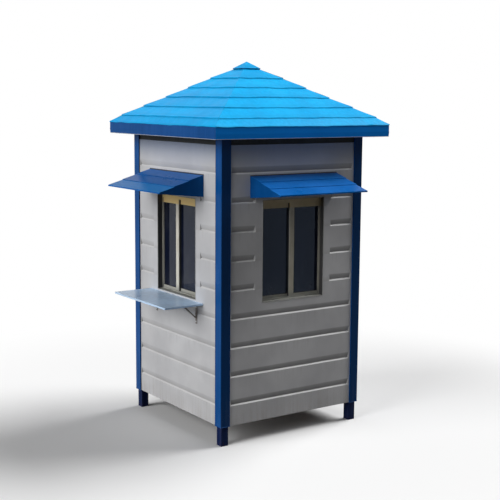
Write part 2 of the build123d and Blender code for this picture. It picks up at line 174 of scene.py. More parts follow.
def painted_steel(name, colour, roughness, shine=0.3, dent=0.0, dust=0.3, rust_top=0.0, painted_side_shading=None):
    """Painted sheet or tube: uneven sheen, orange peel, shallow dents, rain streaks and dust. Below
    rust_top the paint is chipped. Faces that look right or left can take another colour, a painted
    light or shade for how light falls on those sides."""
    paint = Finish(name, Specular_IOR_Level=shine)
    up = paint.split(paint.spot)[2]
    rightward, _, upward = paint.lie()
    cloud = paint.blotches((0.32, 0.32, 0.45), 4.0)
    streak = paint.blotches((0.035, 0.035, 0.80), 3.0, 4.0)
    grit = paint.blotches((0.006, 0.006, 0.006), 3.0, 9.0)
    fine = paint.blotches((0.0035, 0.0035, 0.0035), 1.0)
    paler = [part * 1.10 + 0.006 for part in colour]
    deeper = [part * 0.86 for part in colour]
    shade = paint.tint(paint.rise(cloud * 0.65 + streak * 0.35, 0.32, 0.68), deeper, paler)
    # Painted light or shade on the faces that look right or left
    if painted_side_shading:
        turned = paint.rise(rightward * rightward, 0.4, 0.8) * (cloud * 0.2 + 0.7)
        shade = paint.tint(turned, shade, painted_side_shading)
    splashed = (1.0 - paint.rise(up, 0.14, 0.55)) * paint.rise(streak * 0.5 + grit * 0.5, 0.40, 0.66)
    settled = paint.rise(upward, 0.45, 0.95) * paint.rise(cloud * 0.6 + grit * 0.4, 0.38, 0.66)
    dirt = ((splashed * 0.9 + settled * 0.7) * dust).or_less(0.9)
    shade = paint.tint(dirt, shade, (0.27, 0.235, 0.19))
    sheen = roughness + (cloud - 0.5) * 0.16 + dirt * 0.45
    orange_peel = 0.00005
    height = fine * orange_peel + cloud * dent
    if rust_top:
        chipped = (1.0 - paint.rise(up, 0.3 * rust_top, rust_top)) * paint.rise(grit, 0.60, 0.66)
        shade = paint.tint(chipped, shade, (0.085, 0.030, 0.012))
        sheen = sheen + chipped * 0.35
        paint_thickness = 0.00018
        height = height - chipped * paint_thickness
    paint.coat(colour=shade, roughness=sheen, height=height)
    return paint


def dress(finish, *nodes):
    """The CAD nodes keep their shape and get this finish."""
    for node in nodes:
        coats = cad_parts[node].data.materials
        for number in range(len(coats)):
            coats[number] = finish.material


frame_enamel = painted_steel(
    "dark_blue_frame_enamel", (0.002, 0.012, 0.065), 0.45, shine=0.04, dust=0.05, rust_top=0.05
)
dress(frame_enamel, "corner_posts", "floor_frame", "floor_joists")
# Painted shade: the top rails are dark grey so that they read as the shadow under the eaves.
top_rail_shade_paint = painted_steel("grey_rail_primer", (0.050, 0.052, 0.049), 0.60, shine=0.04, dust=0.05)
dress(top_rail_shade_paint, "top_frame")


# Weld beads: a row of flattened ripples in each inner corner where a floor rail meets a post,
# left as laid and sprayed over with the frame.

# Each side's turn about the vertical in degrees, counted from the front
SIDES = {"front": 0, "right": 90, "back": 180, "left": 270}


def work_on(piece):
    """Selects this piece and nothing else."""
    bpy.ops.object.select_all(action="DESELECT")
    piece.select_set(True)
    bpy.context.view_layer.objects.active = piece


def choose(piece, kind, test):
    """Opens the piece in edit mode with only those points, edges or faces that the test picks."""
    if piece.mode == "EDIT":
        bpy.ops.object.mode_set(mode="OBJECT")
    mesh = piece.data
    for group in (mesh.vertices, mesh.edges, mesh.polygons):
        group.foreach_set("select", [False] * len(group))
    if kind == "VERT":
        for point in mesh.vertices:
            point.select = test(point.co)
    elif kind == "EDGE":
        for edge in mesh.edges:
            first, last = (mesh.vertices[number].co for number in edge.vertices)
            edge.select = test(first, last)
    else:
        for face in mesh.polygons:
            face.select = test(face.center, face.normal)
    bpy.context.tool_settings.mesh_select_mode = [kind == name for name in ("VERT", "EDGE", "FACE")]
    bpy.ops.object.mode_set(mode="EDIT")


def join_up(name, pieces):
    """Makes several pieces one."""
    work_on(pieces[0])
    for piece in pieces:
        piece.select_set(True)
    bpy.ops.object.join()
    joined = bpy.context.object
    joined.name = name
    return joined


def fit(piece, finish, smooth=35):
    """A finished piece gets its coat and is fixed to the booth. Its flat faces are shaded evenly."""
    work_on(piece)
    bpy.ops.object.transform_apply(location=True, rotation=True, scale=True)
    bpy.ops.object.shade_smooth_by_angle(angle=math.radians(smooth))
    evened = piece.modifiers.new("evened", "WEIGHTED_NORMAL")
    evened.keep_sharp = True
    bpy.ops.object.modifier_apply(modifier=evened.name)
    piece.data.name = piece.name
    piece.data.materials.clear()
    piece.data.materials.append(finish.material)
    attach(piece, "root")


def turned_copy(piece, name, turn, mirror=False, aside=0.0):
    """A copy with a mesh of its own. A piece made on the front side is moved aside along it, mirrored
    if need be, and goes to the side at that turn."""
    copy = bpy.data.objects.new(name, piece.data.copy())
    bpy.context.collection.objects.link(copy)
    work_on(copy)
    shift = Matrix.Translation((aside, 0, 0))
    flip = Matrix.Diagonal((-1, 1, 1, 1)) if mirror else Matrix.Identity(4)
    spin = Matrix.Rotation(math.radians(turn), 4, "Z")
    copy.data.transform(Matrix.Translation(middle) @ spin @ flip @ shift)
    if mirror:
        copy.data.flip_normals()
    return copy


def weld_bead(name, start, end, radius):
    """A bead from start to end: a bar with every second ring drawn in."""
    line = Vector(end) - Vector(start)
    ripple = 0.006
    rings = 2 * round(line.length / ripple)
    bpy.ops.object.select_all(action="DESELECT")
    bpy.ops.mesh.primitive_cylinder_add(vertices=8, radius=radius, depth=1.0)
    bead = bpy.context.object
    bead.name = name
    choose(bead, "EDGE", lambda a, b: abs(a.z - b.z) > 0.5)
    bpy.ops.mesh.subdivide(number_cuts=rings - 1)
    choose(bead, "VERT", lambda p: round((p.z + 0.5) * rings) % 2 == 1)
    bpy.ops.transform.resize(value=(0.72, 0.72, 1.0), center_override=(0, 0, 0))
    bpy.ops.object.mode_set(mode="OBJECT")
    bead.rotation_euler = line.normalized().to_track_quat("Z", "Y").to_euler()
    bead.scale = (1, 1, line.length)
    bead.location = (Vector(start) + Vector(end)) / 2
    bpy.ops.object.transform_apply(location=True, rotation=True, scale=True)
    return bead


bead = weld_bead("bead", (0.6655, -0.722, 0.1725), (0.6655, -0.674, 0.1725), 0.0035)
beads = []
for turn in SIDES.values():
    for mirrored in (False, True):
        beads.append(turned_copy(bead, "bead", turn, mirrored))
bpy.data.objects.remove(bead)
fit(join_up("frame_weld_beads", beads), frame_enamel, smooth=60)


# Floor: one sheet of sealed plywood screwed down on the joists, its face veneer running from side
# to side, worn pale and scuffed between the door and the middle of the room.
deck_board = Finish("sealed_plywood", Specular_IOR_Level=0.35)
across, along, up = deck_board.split(deck_board.spot)
grain = deck_board.blotches((0.55, 0.018, 0.05), 6.0)
rings = deck_board.blotches((0.20, 0.006, 0.02), 3.0, 5.0)
plies_per_metre = 700.0
edge_plies = deck_board.rise(up * plies_per_metre % 1.0, 0.35, 0.65)
wood = deck_board.tint(grain * 0.6 + rings * 0.4, (0.20, 0.115, 0.055), (0.46, 0.31, 0.18))
upward = deck_board.lie()[2]
side_of_board = 1.0 - deck_board.rise(upward * upward, 0.4, 0.6)
wood = deck_board.tint(side_of_board * edge_plies * 0.6, wood, (0.12, 0.07, 0.035))
from_tread = along - 0.38
tread_area = (across * across + from_tread * from_tread) / 0.20
scuffs = deck_board.blotches((0.05, 0.012, 0.05), 4.0, 2.0)
worn = (1.0 - deck_board.rise(tread_area, 0.1, 1.0)) * deck_board.rise(scuffs, 0.42, 0.7)
wood = deck_board.tint(worn * 0.55, wood, (0.50, 0.43, 0.34))
deck_board.coat(
    colour=wood,
    roughness=0.38 + worn * 0.35 + rings * 0.1,
    height=grain * 0.0004 + rings * 0.0002,
)
dress(deck_board, "floor_deck")


# Floor screws: countersunk cross-head screws in three rows, one row over each joist, their heads
# bright where boots have rubbed them.
bright_steel = Finish("bright_zinc_steel", Metallic=1.0)
dull = bright_steel.blotches((0.02, 0.02, 0.02), 3.0)
rubbed = bright_steel.blotches((0.0015, 0.02, 0.0015), 2.0, 3.0)
metal = bright_steel.tint(bright_steel.rise(dull, 0.35, 0.7), (0.42, 0.42, 0.43), (0.66, 0.66, 0.67))
bright_steel.coat(colour=metal, roughness=0.26 + dull * 0.22, height=rubbed * 0.00003)


def fastener_head(name, sides, radius, thickness, steps):
    """A head that stands on the ground plane at the middle. Each step draws its top in and then
    lifts it. The thickness and the steps are counted in radii."""
    depth = radius * thickness
    centre = (0, 0, depth / 2)
    bpy.ops.object.select_all(action="DESELECT")
    bpy.ops.mesh.primitive_cylinder_add(vertices=sides, radius=radius, depth=depth, location=centre)
    head = bpy.context.object
    head.name = name
    bpy.ops.object.transform_apply(location=True, rotation=True, scale=True)
    choose(head, "FACE", lambda centre, normal: normal.z > 0.9)
    for drawn_in, lift in steps:
        bpy.ops.mesh.inset(thickness=radius * drawn_in)
        bpy.ops.transform.translate(value=(0, 0, radius * lift))
    bpy.ops.object.mode_set(mode="OBJECT")
    return head


def screw_head(radius):
    """A domed head with a recess."""
    return fastener_head("screw", 12, radius, 0.3, [(0.3, 0.18), (0.25, 0.05), (0.12, -0.22)])


def set_out(name, head, places):
    """Copies of one fastener as one piece. Places are counted from the middle of the room."""
    copies = []
    for place, facing in places:
        copy = bpy.data.objects.new(name, head.data.copy())
        bpy.context.collection.objects.link(copy)
        turn = Vector(facing).to_track_quat("Z", "Y").to_matrix().to_4x4()
        copy.data.transform(Matrix.Translation(middle + Vector(place)) @ turn)
        copies.append(copy)
    bpy.data.objects.remove(head)
    return join_up(name, copies)


# Deck screws, rivets and bolts start this far inside what they hold
bite = 0.0001
deck_top = 0.231
screw_lines = (-0.60, -0.40, -0.20, 0.0, 0.20, 0.40, 0.60)
deck_screws = []
for joist in (-0.42, 0.0, 0.42):
    for line in screw_lines:
        deck_screws.append(((joist, line, deck_top - bite), (0, 0, 1)))
fit(set_out("deck_screws", screw_head(0.0045), deck_screws), bright_steel)


# Wall panels and ceiling: steel-faced insulated boards, matt off-white towards the room, with a
# fine embossed skin and a joint line every half metre.
lining = Finish("off_white_panel_skin", Specular_IOR_Level=0.3)
across, along, up = lining.split(lining.spot)
along = along - middle.y
hand_marks = lining.blotches((0.25, 0.25, 0.30), 4.0)
stucco = lining.blotches((0.006, 0.006, 0.006), 2.0, 3.0)
joints_per_metre = 2.0
from_joint = (across + along) * joints_per_metre % 1.0 - 0.5
joint = lining.rise(from_joint * from_joint, 0.00004, 0.0002)
skin = lining.tint(lining.rise(hand_marks, 0.35, 0.7), (0.66, 0.66, 0.645), (0.78, 0.78, 0.765))
skin = lining.tint((1.0 - lining.rise(up, 0.24, 0.60)) * hand_marks * 0.6, skin, (0.40, 0.37, 0.33))
skin = lining.tint((1.0 - joint) * 0.6, skin, (0.25, 0.25, 0.25))
lining.coat(colour=skin, roughness=0.55 + hand_marks * 0.1, height=stucco * 0.0003 + joint * 0.0012)
dress(lining, "front_wall", "right_wall", "back_wall", "left_wall")

ceiling_board = Finish("white_ceiling_board", Specular_IOR_Level=0.3)
fissures = ceiling_board.blotches((0.012, 0.02, 0.01), 3.0)
stain = ceiling_board.blotches((0.3, 0.3, 0.3), 3.0, 2.0)
board = ceiling_board.tint(ceiling_board.rise(stain, 0.4, 0.75), (0.80, 0.80, 0.785), (0.70, 0.69, 0.66))
board = ceiling_board.tint(ceiling_board.rise(fissures, 0.62, 0.70) * 0.5, board, (0.42, 0.42, 0.41))
ceiling_board.coat(colour=board, roughness=0.7 + stain * 0.1, height=fissures * 0.0008)
dress(ceiling_board, "ceiling_panel")


# Cladding: coil-coated steel sheets pressed with long grooves, each sinking slowly from above to a
# steep ledge at its foot. The press leaves soft edges, rain lines run below the ledges and dirt
# splashes up near the ground. The grooves are darker with dirt and painted shade, their ends and the
# wall tops under the eaves carry painted shade, and the ledges painted light, less so on the front.


def round_edges(piece, width, steps=2, angle=30):
    """Breaks the edges that are sharper than the angle."""
    work_on(piece)
    bevel = piece.modifiers.new("round", "BEVEL")
    bevel.limit_method = "ANGLE"
    bevel.angle_limit = math.radians(angle)
    bevel.width = width
    bevel.segments = steps
    bevel.use_clamp_overlap = False
    bpy.ops.object.modifier_apply(modifier=bevel.name)


def softened_copy(node, name, width, steps=2, angle=30):
    """A copy of a CAD node with its sheet edges broken. The node itself is left alone."""
    piece = bpy.data.objects.new(name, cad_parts[node].data.copy())
    bpy.context.collection.objects.link(piece)
    work_on(piece)
    bpy.ops.object.mode_set(mode="EDIT")
    bpy.ops.mesh.select_all(action="SELECT")
    bpy.ops.mesh.remove_doubles(threshold=0.00002)
    bpy.ops.mesh.dissolve_limited(angle_limit=math.radians(1.0))
    bpy.ops.object.mode_set(mode="OBJECT")
    round_edges(piece, width, steps, angle)
    return piece


grey_coat = Finish("light_grey_coil_coat", Specular_IOR_Level=0.3)
wall_face = 0.742
groove_foot, groove_pitch = 0.342, 0.247
up = grey_coat.split(grey_coat.spot)[2]
pan = grey_coat.blotches((0.30, 0.30, 0.22), 2.0)
cloud = grey_coat.blotches((0.45, 0.45, 0.6), 4.0, 6.0)
streak = grey_coat.blotches((0.022, 0.022, 0.55), 3.0, 3.0)
grit = grey_coat.blotches((0.005, 0.005, 0.005), 2.0, 8.0)
fine = grey_coat.blotches((0.003, 0.003, 0.003), 1.0)
mottle = grey_coat.rise(cloud * 0.7 + pan * 0.3, 0.35, 0.66)
tone = grey_coat.tint(mottle, (0.50, 0.50, 0.515), (0.60, 0.60, 0.612))
over_groove = (up - groove_foot) % groove_pitch
in_groove = 1.0 - grey_coat.rise(over_groove, 0.012, 0.050)
under_ledge = grey_coat.rise(over_groove, 0.120, groove_pitch)
sheet_range = grey_coat.rise(up, 0.30, 0.36)
# Dirt and painted shade: rain lines below the ledges, and darker paint in the grooves.
grime_and_groove_shade = (in_groove * 0.55 + under_ledge * grey_coat.rise(streak, 0.48, 0.72) * 0.45) * sheet_range
mud = (1.0 - grey_coat.rise(up, 0.17, 0.42)) * grey_coat.rise(streak * 0.5 + grit * 0.5, 0.42, 0.66)
tone = grey_coat.tint((grime_and_groove_shade * 0.35).or_less(0.6), tone, (0.30, 0.285, 0.26))
tone = grey_coat.tint(mud * 0.30, tone, (0.30, 0.255, 0.20))
rightward, backward, upward = grey_coat.lie()
forward = backward * -1.0
# Faces that look to the front get less of the painted shade, as the light falls on them.
front_lit = grey_coat.rise(forward, 0.35, 0.75)
depth = wall_face - grey_coat.way_out()[0]
# Painted shade on the upper flank of each groove and on the front wall's groove ends that look right.
sunk = grey_coat.rise(depth, 0.0003, 0.0030) * grey_coat.rise(over_groove, 0.008, 0.014)
painted_groove_shade = sunk * (0.70 - over_groove * 5.0) * sheet_range * (1.0 - front_lit * 0.72)
groove_end_shade = grey_coat.rise(rightward, 0.25, 0.50) * grey_coat.rise(forward, 0.70, 0.75)
tone = grey_coat.tint(painted_groove_shade.or_more(groove_end_shade * 0.75), tone, (0.10, 0.098, 0.096))
# Painted light: ledges that face up are made lighter, less so on the front.
ledge = grey_coat.rise(upward, 0.20, 0.60) * (0.78 - grey_coat.rise(forward, 0.25, 0.6) * 0.50)
tone = grey_coat.tint(ledge, tone, (0.82, 0.82, 0.82))
# Painted shadow of the eaves: the tops of the walls are darker and bluer, a little less on the front.
eave_shadow = grey_coat.rise(up, 2.34, 2.56) * (0.86 - front_lit * 0.10)
tone = grey_coat.tint(eave_shadow, tone, (0.12, 0.165, 0.26))
grey_coat.coat(
    colour=tone,
    roughness=0.42 + (cloud - 0.5) * 0.14 + grime_and_groove_shade * 0.2 + mud * 0.3,
    height=pan * 0.0028 + fine * 0.00004,
)
for side in SIDES:
    sheet = softened_copy(f"{side}_cladding", f"{side}_pressed_cladding", 0.0018, angle=22)
    fit(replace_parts(sheet, f"{side}_cladding"), grey_coat, smooth=22)


# Cladding rivets: small painted pop rivets along the foot and the head of each sheet, through the
# sheet into the rails behind.


def pop_rivet(radius):
    """A domed head with the hollow that its pin leaves."""
    return fastener_head("rivet", 12, radius, 0.24, [(0.35, 0.16), (0.3, 0.03), (0.05, -0.2)])


def on_each_side(places):
    """Places and the ways they face on all four sides, from those on the front side."""
    around = []
    for turn in SIDES.values():
        spin = Matrix.Rotation(math.radians(turn), 3, "Z")
        around += [(spin @ Vector(place), spin @ Vector(facing)) for place, facing in places]
    return around


# The ways that a fastener on the front side or round its right corner faces
front, right = (0, -1, 0), (1, 0, 0)
foot_row, head_row = 0.187, 2.536
places = []
for across in screw_lines:
    for height in (foot_row, head_row):
        places.append(((across, bite - wall_face, height), front))
fit(set_out("cladding_rivets", pop_rivet(0.0042), on_each_side(places)), grey_coat)


# Corner covers: glossy blue steel angles, folded with a round back, that lap over the ends of the
# cladding. They are riveted down both legs, and their free edges are folded back under.
# Painted shade: the covers' faces that look right or left are a darker blue.
cover_enamel = painted_steel(
    "glossy_blue_cover_enamel",
    (0.003, 0.075, 0.28),
    0.26,
    shine=0.04,
    dent=0.0016,
    dust=0.08,
    painted_side_shading=(0.0011, 0.028, 0.104),
)


def bent_sheet(name, corner, along, bends):
    """A strip of sheet as long as along, folded bend by bend from its first edge at the corner."""
    first = Vector(bends[0])
    length = Vector(along)
    turn = Matrix((length.normalized(), first.normalized(), length.cross(first).normalized())).transposed()
    bpy.ops.object.select_all(action="DESELECT")
    bpy.ops.mesh.primitive_plane_add(
        size=1,
        location=Vector(corner) + length / 2 + first / 2,
        rotation=turn.to_euler(),
    )
    sheet = bpy.context.object
    sheet.name = name
    sheet.scale = (length.length, first.length, 1)
    bpy.ops.object.transform_apply(location=True, rotation=True, scale=True)
    line = length.normalized()

    def on_far_edge(point):
        return (point - Vector(corner) - first).cross(line).length < 0.00001

    choose(sheet, "EDGE", lambda a, b: on_far_edge(a) and on_far_edge(b))
    for bend in bends[1:]:
        bpy.ops.mesh.extrude_region_move(TRANSFORM_OT_translate={"value": bend})
    bpy.ops.object.mode_set(mode="OBJECT")
    return sheet


def thicken(sheet, gauge, even=True):
    """Gives a sheet its thickness on its inner side, the same across a fold if even."""
    work_on(sheet)
    solid = sheet.modifiers.new("gauge", "SOLIDIFY")
    solid.thickness = gauge
    solid.offset = -1
    solid.use_even_offset = even
    bpy.ops.object.modifier_apply(modifier=solid.name)


def all_round(piece):
    """Copies of a piece of the front side on all four sides, in its place."""
    copies = [turned_copy(piece, piece.name, turn) for turn in SIDES.values()]
    bpy.data.objects.remove(piece)
    return copies


cover_foot, cover_head = 0.171, 2.615
cover_edge, cover_face = 0.660, 0.750
leg, hem = cover_face - cover_edge, 0.010
bends = [
    (hem, 0, 0),
    (-hem, -0.0035, 0),
    (0, -0.002, 0),
    (leg, 0, 0),
    (0, leg, 0),
    (-0.002, 0, 0),
    (-0.0035, -hem, 0),
]
cover = bent_sheet("cover", (cover_edge, -0.7445, cover_foot), (0, 0, cover_head - cover_foot), bends)
thicken(cover, 0.0012)
cover_angles = join_up("folded_corner_covers", all_round(cover))
round_edges(cover_angles, 0.0045, steps=3, angle=60)
fit(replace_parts(cover_angles, "corner_covers"), cover_enamel, smooth=40)
rivet_line, rivet_pitch = 0.676, 0.28
places = []
for number in range(9):
    height = cover_foot + 0.10 + number * rivet_pitch
    places.append(((rivet_line, bite - cover_face, height), front))
    places.append(((cover_face - bite, -rivet_line, height), right))
fit(set_out("cover_rivets", pop_rivet(0.0045), on_each_side(places)), cover_enamel)


# Sliding windows: slim champagne anodised aluminium profiles. A sleeve lines the hole in the wall,
# and two sashes of unequal width run behind it in their tracks. They stand closed.
champagne = Finish("champagne_anodised_aluminium", Metallic=0.02, Specular_IOR_Level=0.08)
up = champagne.split(champagne.spot)[2]
drawn = champagne.blotches((0.0012, 0.0012, 0.5), 2.0)
cloud = champagne.blotches((0.12, 0.12, 0.25), 3.0, 2.0)
window_foot, top_rail = 1.215, 2.005
foot_dust = 1.0 - champagne.rise(up, window_foot, window_foot + 0.095)
alloy = champagne.tint(champagne.rise(cloud, 0.35, 0.65), (0.41, 0.385, 0.305), (0.52, 0.49, 0.41))
alloy = champagne.tint(foot_dust * (cloud * 0.4 + 0.5), alloy, (0.22, 0.235, 0.232))
_, backward, upward = champagne.lie("True Normal")
# Painted light and reflection: faces that look to the front are paler, and the top rail is tinted gold,
# most on the front.
front_face = champagne.rise(backward * -1.0, 0.6, 0.9)
alloy = champagne.tint(front_face * (1.0 - foot_dust) * 0.55, alloy, (0.82, 0.80, 0.71))
head = champagne.rise(up, top_rail - 0.002, top_rail + 0.002) * (front_face * 0.60 + 0.25)
alloy = champagne.tint(head, alloy, (0.88, 0.63, 0.23))
# Painted shade: the outer stiles beside the sleeve and the sleeve's inner faces are darkened.
out, aside = champagne.way_out()
outer_stile_shade = champagne.rise(aside, 0.309, 0.316)
alloy = champagne.tint(outer_stile_shade * 0.6, alloy, (0.10, 0.10, 0.095))
sleeve_shade = champagne.rise(out, 0.697, 0.700) * (1.0 - champagne.rise(upward * upward, 0.2, 0.6))
alloy = champagne.tint(sleeve_shade * 0.88, alloy, (0.030, 0.030, 0.034))
champagne.coat(colour=alloy, roughness=0.36 + cloud * 0.16 + foot_dust * 0.2, height=drawn * 0.00002)
GLAZED = ("front", "right", "left")
for side in GLAZED:
    for part in ("window_frame", "outer_sash", "inner_sash"):
        profile = softened_copy(f"{side}_{part}", f"{side}_{part}_profile", 0.0009, angle=40)
        fit(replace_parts(profile, f"{side}_{part}"), champagne, smooth=30)


# Window seals: black rubber wedges hold each pane on both faces, a brush strip closes the gap
# behind the meeting stile, and a bead of grey sealant runs round the sleeve on the wall.
rubber = Finish("black_seal_rubber", Specular_IOR_Level=0.3)
bloom = rubber.blotches((0.03, 0.03, 0.03), 4.0)
rubber.coat(
    colour=rubber.tint(bloom, (0.010, 0.010, 0.011), (0.030, 0.030, 0.031)),
    roughness=0.55 + bloom * 0.2,
    height=rubber.blotches((0.002, 0.002, 0.002), 2.0) * 0.0001,
)
sealant = Finish("grey_sealant", Specular_IOR_Level=0.4)
tooled = sealant.blotches((0.02, 0.02, 0.006), 3.0)
sealant.coat(
    colour=sealant.tint(tooled, (0.36, 0.36, 0.355), (0.50, 0.50, 0.49)),
    roughness=0.45 + tooled * 0.2,
    height=tooled * 0.0006,
)


def block(name, low, high):
    """A box between two corners, still to be shaped."""
    bpy.ops.object.select_all(action="DESELECT")
    centre = [(a + b) / 2 for a, b in zip(low, high)]
    size = [b - a for a, b in zip(low, high)]
    bpy.ops.mesh.primitive_cube_add(size=1, location=centre, scale=size)
    bpy.ops.object.transform_apply(location=True, rotation=True, scale=True)
    piece = bpy.context.object
    piece.name = name
    return piece


def ring(name, low, high, width):
    """An upright rectangular ring, seen from the front: a box with a hole bridged through it."""
    piece = block(name, low, high)
    choose(piece, "FACE", lambda centre, normal: abs(normal.y) > 0.9)
    bpy.ops.mesh.inset(thickness=width, use_individual=True)
    bpy.ops.mesh.bridge_edge_loops()
    bpy.ops.object.mode_set(mode="OBJECT")
    return piece


def window_seals(offset):
    """The seals of a front window whose meeting stiles stand that far left of its middle."""
    half_light, half_stile = 0.3107, 0.024
    seals = []
    for left, right, sash_face in (
        (-half_light, -half_stile - offset, -0.688),
        (half_stile - offset, half_light, -0.668),
    ):
        for near in (sash_face + 0.0012, sash_face + 0.0105):
            seals.append(ring("wedge", (left, near, 1.2463), (right, near + 0.0043, 2.0057), 0.0042))
    brush = block("brush", (0.0245 - offset, -0.6795, 1.228), (0.0285 - offset, -0.6685, 2.046))
    choose(brush, "FACE", lambda centre, normal: normal.y < -0.9)
    bpy.ops.mesh.inset(thickness=0.001)
    bpy.ops.transform.translate(value=(0, -0.001, 0))
    bpy.ops.object.mode_set(mode="OBJECT")
    joined = join_up("window_seals", [brush, *seals])
    round_edges(joined, 0.0006, steps=1, angle=50)
    return joined


# How far the meeting stiles stand off middle, whether they mirror the front ones, and on which sides
WINDOW_KINDS = ((0.070, False, ("front",)), (0.022, True, ("right", "left")))
bead = ring("bead", (-0.3325, -0.7445, 1.2055), (0.3325, -0.7415, 2.0945), 0.0058)
round_edges(bead, 0.0016, angle=50)
for offset, mirrored, sides in WINDOW_KINDS:
    seals = window_seals(offset)
    for side in sides:
        sealed = turned_copy(seals, f"{side}_window_seals", SIDES[side], mirrored)
        fit(sealed, rubber)
        fit(turned_copy(bead, f"{side}_window_sealant", SIDES[side]), sealant)
    bpy.data.objects.remove(seals)
bpy.data.objects.remove(bead)


# Sash furniture: a flush pull on the outer sash's meeting stile, a crescent latch inside behind it,
# and two hooded vents in the foot of the sleeve that let rain out. All anodised like the sashes.
def pull_and_latch():
    """The sunk pull outside, and the latch's plate and lever in the room behind it."""
    pull = block("pull", (-0.006, -0.6905, 1.58), (0.006, -0.6875, 1.69))
    choose(pull, "FACE", lambda centre, normal: normal.y < -0.9)
    bpy.ops.mesh.inset(thickness=0.003)
    bpy.ops.transform.translate(value=(0, 0.002, 0))
    bpy.ops.object.mode_set(mode="OBJECT")
    plate = block("plate", (-0.012, -0.6525, 1.615), (0.012, -0.6485, 1.675))
    choose(plate, "FACE", lambda centre, normal: normal.y > 0.9)
    bpy.ops.mesh.inset(thickness=0.004)
    bpy.ops.mesh.extrude_region_move(TRANSFORM_OT_translate={"value": (0, 0.006, 0)})
    bpy.ops.transform.resize(value=(0.7, 1, 0.6))
    bpy.ops.object.mode_set(mode="OBJECT")
    lever = block("lever", (-0.006, -0.6440, 1.640), (0.006, -0.6390, 1.652))
    choose(lever, "FACE", lambda centre, normal: normal.x > 0.9)
    bpy.ops.mesh.extrude_region_move(TRANSFORM_OT_translate={"value": (0.016, 0.001, -0.008)})
    bpy.ops.mesh.extrude_region_move(TRANSFORM_OT_translate={"value": (0.018, 0.003, -0.018)})
    bpy.ops.transform.resize(value=(0.6, 0.8, 0.6))
    bpy.ops.object.mode_set(mode="OBJECT")
    furniture = join_up("furniture", [pull, plate, lever])
    round_edges(furniture, 0.001, angle=40)
    return furniture


def drain_vent():
    """A small hood that leans in towards its top."""
    vent = block("vent", (-0.016, -0.6985, 1.2125), (0.016, -0.6955, 1.2205))
    choose(vent, "FACE", lambda centre, normal: normal.z > 0.9)
    bpy.ops.transform.resize(value=(0.86, 1, 1))
    bpy.ops.object.mode_set(mode="OBJECT")
    round_edges(vent, 0.0008, angle=40)
    return vent


furniture = pull_and_latch()
vent = drain_vent()
for offset, mirrored, sides in WINDOW_KINDS:
    for side in sides:
        turn = SIDES[side]
        fitted = turned_copy(furniture, f"{side}_sash_furniture", turn, mirrored, aside=-offset)
        fit(fitted, champagne)
        vents = [turned_copy(vent, "vents", turn, aside=place) for place in (-0.18, 0.18)]
        fit(join_up(f"{side}_drain_vents", vents), champagne)
bpy.data.objects.remove(furniture)
bpy.data.objects.remove(vent)


# Panes: clear float glass with a dark film inside, faintly wavy, with wiped dust towards the edges
# and the foot. Its dark, nearly opaque colour is partly painted shade of the dim room behind it, and
# the blue tint of its reflections is a painted sky reflection.
filmed_glass_and_shade = Finish("dark_filmed_glass", Specular_IOR_Level=0.2, Specular_Tint=(0.5, 0.68, 1.0, 1.0))
up = filmed_glass_and_shade.split(filmed_glass_and_shade.spot)[2]
wipe = filmed_glass_and_shade.blotches((0.10, 0.10, 0.16), 5.0)
specks = filmed_glass_and_shade.blotches((0.004, 0.004, 0.004), 2.0, 5.0)
low_dust = 1.0 - filmed_glass_and_shade.rise(up, 1.25, 1.50)
haze = filmed_glass_and_shade.rise(wipe, 0.48, 0.80) * 0.35 + low_dust * wipe * 0.35
haze = (haze + filmed_glass_and_shade.rise(specks, 0.70, 0.75) * 0.5).or_less(1.0)
# Painted shade: the pane's near-black colour and high alpha stand partly for the dim room behind it.
pane = filmed_glass_and_shade.tint(haze, (0.006, 0.009, 0.024), (0.055, 0.058, 0.066))
filmed_glass_and_shade.join(0.90 + haze * 0.08, filmed_glass_and_shade.shader.inputs["Alpha"])
wave = filmed_glass_and_shade.blotches((0.25, 0.25, 0.2), 1.0, 7.0)
filmed_glass_and_shade.coat(colour=pane, roughness=0.02 + haze * 0.30, height=wave * 0.0008)
dress(filmed_glass_and_shade, "front_window_glass", "right_window_glass", "left_window_glass", "door_glass")


# Door: a flush steel leaf in a pressed steel frame, both grey like the walls. The leaf has a glazed
# light with a rubber seal and one pressed panel under it.
door_coat = painted_steel("light_grey_door_enamel", (0.53, 0.535, 0.55), 0.38, dent=0.0016, dust=0.35)
leaf = softened_copy("door_leaf", "steel_door_leaf", 0.0015, angle=40)
fit(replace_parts(leaf, "door_leaf"), door_coat, smooth=30)
surround = softened_copy("door_frame", "pressed_door_frame", 0.0015, angle=40)
fit(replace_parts(surround, "door_frame"), door_coat, smooth=30)


def pressed_moulding(near, far, out):
    """A raised moulding round the panel: a ring with its face on the out side pulled into a ridge."""
    width = 0.022
    moulding = ring("moulding", (-0.220, near, 0.42), (0.220, far, 1.00), width)
    choose(moulding, "FACE", lambda centre, normal: normal.y * out > 0.9)
    bpy.ops.mesh.inset(thickness=width * 0.3)
    bpy.ops.transform.translate(value=(0, out * 0.004, 0))
    bpy.ops.object.mode_set(mode="OBJECT")
    round_edges(moulding, 0.0012, angle=25)
    return moulding


mouldings = [pressed_moulding(-0.7335, -0.7315, -1), pressed_moulding(-0.6925, -0.6905, 1)]
panel_trim = join_up("trim", mouldings)
fit(turned_copy(panel_trim, "door_panel_mouldings", 180), door_coat, smooth=30)
bpy.data.objects.remove(panel_trim)
half_light, light_foot, light_head = 0.1702, 1.2570, 1.8770
door_seals = []
for near, far in ((-0.7318, -0.7148), (-0.7092, -0.6922)):
    door_seals.append(ring("seal", (-half_light, near, light_foot), (half_light, far, light_head), 0.005))
door_seal = join_up("seal", door_seals)
round_edges(door_seal, 0.0008, steps=1, angle=50)
fit(turned_copy(door_seal, "door_light_seals", 180), rubber)
bpy.data.objects.remove(door_seal)


